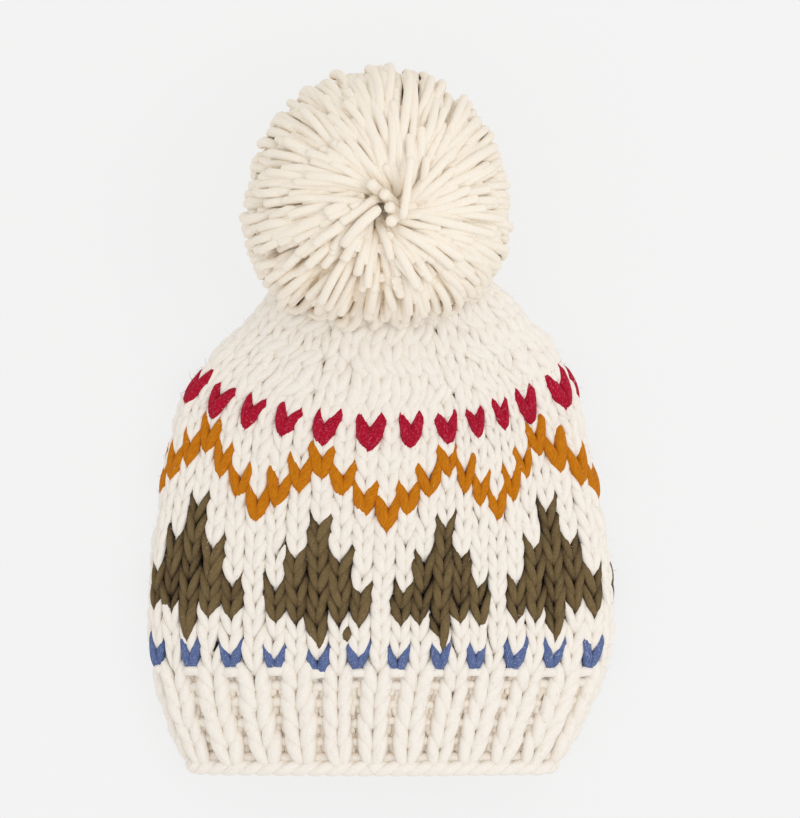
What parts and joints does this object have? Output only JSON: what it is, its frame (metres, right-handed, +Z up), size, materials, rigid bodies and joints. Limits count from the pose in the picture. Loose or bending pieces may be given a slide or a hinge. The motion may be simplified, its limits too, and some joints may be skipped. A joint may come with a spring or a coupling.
{
  "type": "fair isle beanie",
  "caption": "Soft knitted fair isle beanie lying flat on its back, open at its ribbed brim, with a large yarn pompom tied on at the crown.",
  "frame": {"origin": "on the surface the hat lies on, under the middle of the hat with its pompom", "axes": "+Y from the brim to the pompom, +Z up out of the patterned front, +X to the right of someone looking down at the front with the pompom away from them"},
  "size_m": [0.2096, 0.3172, 0.107],
  "materials": {
    "brim_rib": "thick cream yarn in one by one rib, matt",
    "patterned_body": "thick cream yarn in stocking stitch with coloured rows, matt",
    "crown": "thick cream yarn in stocking stitch, matt",
    "pompom": "cut strands of thick cream yarn, matt",
    "pompom_tie": "thick cream yarn, matt"
  },
  "bodies": {
    "root": {"brim_rib": "brim_rib", "patterned_body": "patterned_body", "crown": "crown", "pompom": "pompom", "pompom_tie": "pompom_tie"}
  },
  "joints": []
}
